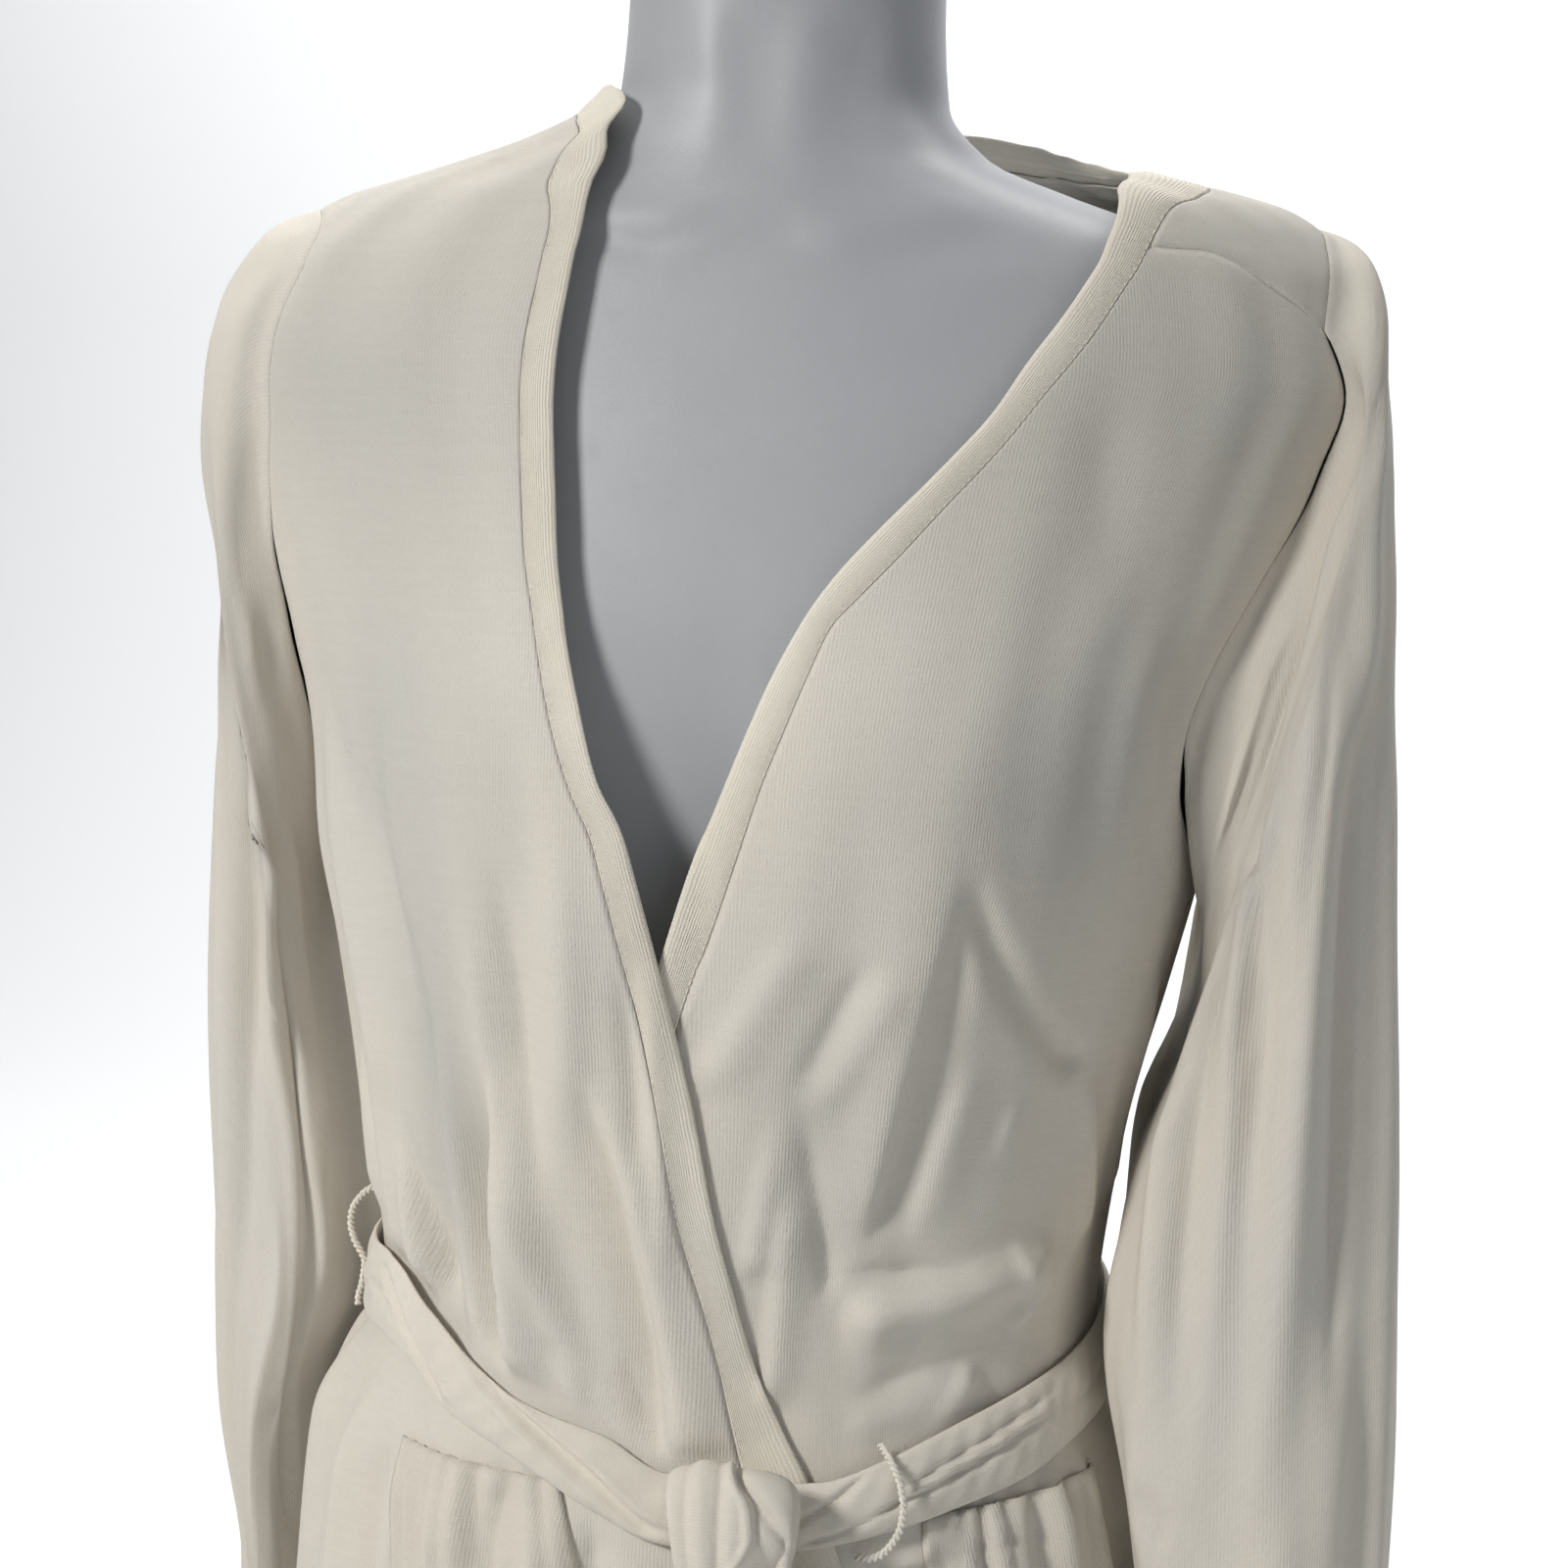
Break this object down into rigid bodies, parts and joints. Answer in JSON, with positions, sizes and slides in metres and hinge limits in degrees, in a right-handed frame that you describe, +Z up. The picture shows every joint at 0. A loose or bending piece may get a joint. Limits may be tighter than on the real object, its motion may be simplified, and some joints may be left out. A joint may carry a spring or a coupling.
{
  "type": "wrap top on dress form",
  "caption": "Long-sleeved jersey wrap top with a bound crossover neckline and a tie belt knotted at the front, worn by a limbless dress form",
  "frame": {"origin": "middle of the dress form's flat base, on the surface it stands on", "axes": "+Z up, -Y the way the garment faces, +X the wearer's left"},
  "size_m": [0.4163, 0.2826, 0.835],
  "materials": {
    "jersey": "matt off-white single jersey with a faint sheen",
    "binding": "doubled jersey binding, creamier than the panels",
    "thread": "twisted sewing thread",
    "form_plastic": "smooth satin grey"
  },
  "bodies": {
    "root": {"dress_form": "form_plastic", "back": "jersey", "front_right": "jersey", "front_left": "jersey", "neckband": "binding", "sleeve_right": "jersey", "sleeve_left": "jersey", "pocket_right": "jersey", "pocket_left": "jersey", "belt_left": "jersey", "belt_back": "jersey", "belt_right": "jersey", "belt_knot": "jersey", "belt_tail_right": "jersey", "belt_tail_left": "jersey", "belt_loop_left": "thread", "belt_loop_right": "thread"}
  },
  "joints": []
}
